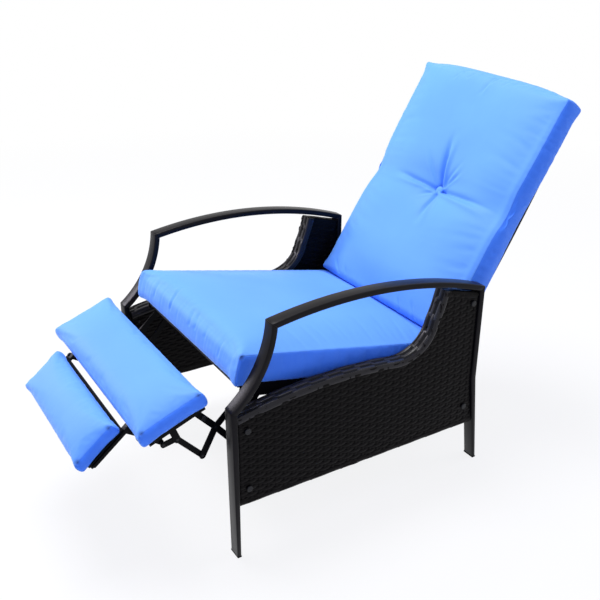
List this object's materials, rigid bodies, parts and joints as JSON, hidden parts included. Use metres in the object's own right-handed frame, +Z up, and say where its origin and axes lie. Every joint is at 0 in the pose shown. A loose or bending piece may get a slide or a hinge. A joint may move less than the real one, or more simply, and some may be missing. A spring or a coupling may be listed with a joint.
{
  "type": "reclining garden armchair",
  "caption": "Padded outdoor armchair with woven side panels, a back that leans and a two-panel footrest that unfolds with it.",
  "frame": {"origin": "on the floor, under the middle of the chair's overall box in the leaned-back pose with the footrest out", "axes": "+Z up, the sitter faces -Y, +X is the sitter's left; the chair is mirror-symmetric about X = 0"},
  "size_m": [0.68, 1.4065, 0.9902],
  "materials": {
    "frame_paint": "satin black-brown powder coat",
    "link_paint": "satin black paint",
    "resin_weave": "woven flat resin strip, espresso, slight gloss",
    "cushion_cloth": "smooth woven outdoor polyester, sky blue",
    "glide_plastic": "black moulded foot plug",
    "pin_steel": "dark zinc rivets and bolts",
    "back_mesh": "black sling mesh",
    "strap_webbing": "black elastic webbing",
    "board_black": "black stained plywood board"
  },
  "bodies": {
    "frame": {"left_front_leg": "frame_paint", "right_front_leg": "frame_paint", "left_front_upright": "frame_paint", "right_front_upright": "frame_paint", "left_arm": "frame_paint", "right_arm": "frame_paint", "left_rear_leg": "frame_paint", "right_rear_leg": "frame_paint", "foot_glides": "glide_plastic", "left_side_panel": "resin_weave", "right_side_panel": "resin_weave", "panel_frames": "frame_paint", "panel_bolts": "pin_steel", "rear_cross_tube": "frame_paint", "seat_rails": "frame_paint", "seat_front_rail": "frame_paint", "seat_rear_rail": "frame_paint", "seat_straps": "strap_webbing", "seat_spacers": "frame_paint", "seat_bolts": "pin_steel", "seat_cushion": "cushion_cloth", "link_hangers": "link_paint", "hanger_pins": "pin_steel", "hinge_plates": "frame_paint", "back_hinge_pins": "pin_steel"},
    "backrest": {"back_brackets": "link_paint", "back_stiles": "frame_paint", "back_lower_rail": "frame_paint", "back_top_rail": "frame_paint", "back_weave": "back_mesh", "back_cushion": "cushion_cloth", "back_button": "cushion_cloth", "back_lugs": "link_paint", "push_rod_pins": "pin_steel"},
    "rear_link": {"rear_links": "link_paint", "torque_tube": "link_paint", "torque_cranks": "link_paint", "crank_pins": "pin_steel", "rear_link_pins": "pin_steel"},
    "lift_link": {"lift_links": "link_paint", "lift_link_pins": "pin_steel"},
    "control_link": {"control_links": "link_paint"},
    "front_link": {"front_links": "link_paint", "front_link_pins": "pin_steel"},
    "footrest": {"footrest_board": "board_black", "footrest_rails": "link_paint", "footrest_brackets": "link_paint", "flipper_hangers": "link_paint", "footrest_cushion": "cushion_cloth"},
    "flipper": {"flipper_board": "board_black", "flipper_bars": "link_paint", "flipper_arms": "link_paint", "flipper_rod": "pin_steel", "flipper_cranks": "link_paint", "flipper_crank_pins": "pin_steel", "flipper_cushion": "cushion_cloth"},
    "flipper_link": {"flipper_links": "link_paint"},
    "push_rod": {"push_rods": "link_paint"}
  },
  "joints": [
    {"name": "recline", "type": "hinge", "parent": "frame", "child": "backrest", "pos_m": [0, 0.2923, 0.375], "axis": [1, 0, 0], "range_deg": [0, 17]},
    {"name": "rear_link_turn", "type": "hinge", "parent": "frame", "child": "rear_link", "pos_m": [0, -0.2867, 0.412], "axis": [1, 0, 0], "range_deg": [0, 70.05]},
    {"name": "control_link_turn", "type": "hinge", "parent": "frame", "child": "control_link", "pos_m": [0, -0.2587, 0.392], "axis": [1, 0, 0], "range_deg": [0, 67.55]},
    {"name": "lift_link_turn", "type": "hinge", "parent": "rear_link", "child": "lift_link", "pos_m": [0, -0.3797, 0.329], "axis": [1, 0, 0], "range_deg": [-48.05, 0]},
    {"name": "front_link_turn", "type": "hinge", "parent": "rear_link", "child": "front_link", "pos_m": [0, -0.4167, 0.262], "axis": [1, 0, 0], "range_deg": [-48.05, 0]},
    {"name": "footrest_turn", "type": "hinge", "parent": "lift_link", "child": "footrest", "pos_m": [0, -0.4387, 0.396], "axis": [1, 0, 0], "range_deg": [0, 48.05]},
    {"name": "flipper_turn", "type": "hinge", "parent": "footrest", "child": "flipper", "pos_m": [0, -0.55272, 0.34603], "axis": [1, 0, 0], "range_deg": [0, 150.05]},
    {"name": "flipper_link_turn", "type": "hinge", "parent": "flipper", "child": "flipper_link", "pos_m": [0, -0.55439, 0.35791], "axis": [1, 0, 0], "range_deg": [-97.75, 0]},
    {"name": "push_rod_turn", "type": "hinge", "parent": "backrest", "child": "push_rod", "pos_m": [0, 0.3403, 0.305], "axis": [1, 0, 0], "range_deg": [-15.7, 0]}
  ],
  "couplings": [
    {"joint": "rear_link_turn", "follows": "recline", "ratio": 4.1176},
    {"joint": "lift_link_turn", "follows": "recline", "ratio": -2.8235},
    {"joint": "front_link_turn", "follows": "recline", "ratio": -2.8235},
    {"joint": "footrest_turn", "follows": "recline", "ratio": 2.8235},
    {"joint": "control_link_turn", "follows": "recline", "ratio": 3.9706},
    {"joint": "flipper_turn", "follows": "recline", "ratio": 8.8235},
    {"joint": "flipper_link_turn", "follows": "recline", "ratio": -5.7471},
    {"joint": "push_rod_turn", "follows": "recline", "ratio": -0.92059}
  ]
}
